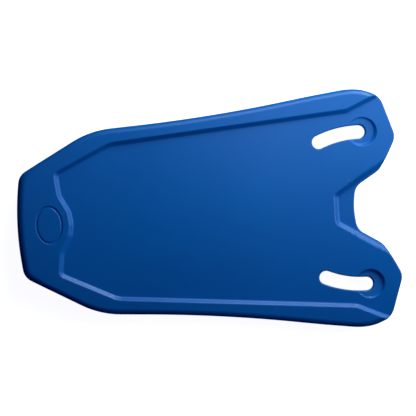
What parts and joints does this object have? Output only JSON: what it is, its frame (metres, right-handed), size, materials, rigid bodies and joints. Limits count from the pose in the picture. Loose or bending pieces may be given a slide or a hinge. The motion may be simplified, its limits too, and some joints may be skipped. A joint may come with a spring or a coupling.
{
  "type": "spine protector back plate",
  "caption": "Body-worn spine board: a blue moulded plate with a raised rim, neck notch and arc mounting slots over a peel-off foam pad.",
  "frame": {"origin": "centre of the plan outline, on the surface that the plate lies on, pad side down", "axes": "+X from the tail to the ears at the neck end, +Y across the back, +Z out of the outer face"},
  "size_m": [0.3805, 0.2384, 0.035],
  "materials": {
    "shell_plastic": "satin moulded",
    "impact_eva": "closed-cell foam skin",
    "comfort_foam": "open-cell foam",
    "lining_fabric": "knitted spacer mesh",
    "binding_tape": "woven",
    "hook_tape": "hook pile",
    "loop_tape": "loop pile"
  },
  "bodies": {
    "pad": {"impact_foam": "impact_eva", "comfort_foam": "comfort_foam", "body_lining": "lining_fabric", "edge_binding": "binding_tape", "loop_patch_1": "loop_tape", "loop_patch_2": "loop_tape", "loop_patch_3": "loop_tape", "loop_patch_4": "loop_tape", "loop_patch_5": "loop_tape", "loop_patch_6": "loop_tape"},
    "shell": {"outer_shell": "shell_plastic", "hook_patch_1": "hook_tape", "hook_patch_2": "hook_tape", "hook_patch_3": "hook_tape", "hook_patch_4": "hook_tape", "hook_patch_5": "hook_tape", "hook_patch_6": "hook_tape"}
  },
  "joints": [
    {"name": "shell_lift", "type": "slide", "parent": "pad", "child": "shell", "axis": [0, 0, 1], "range_m": [0, 0.08]}
  ]
}
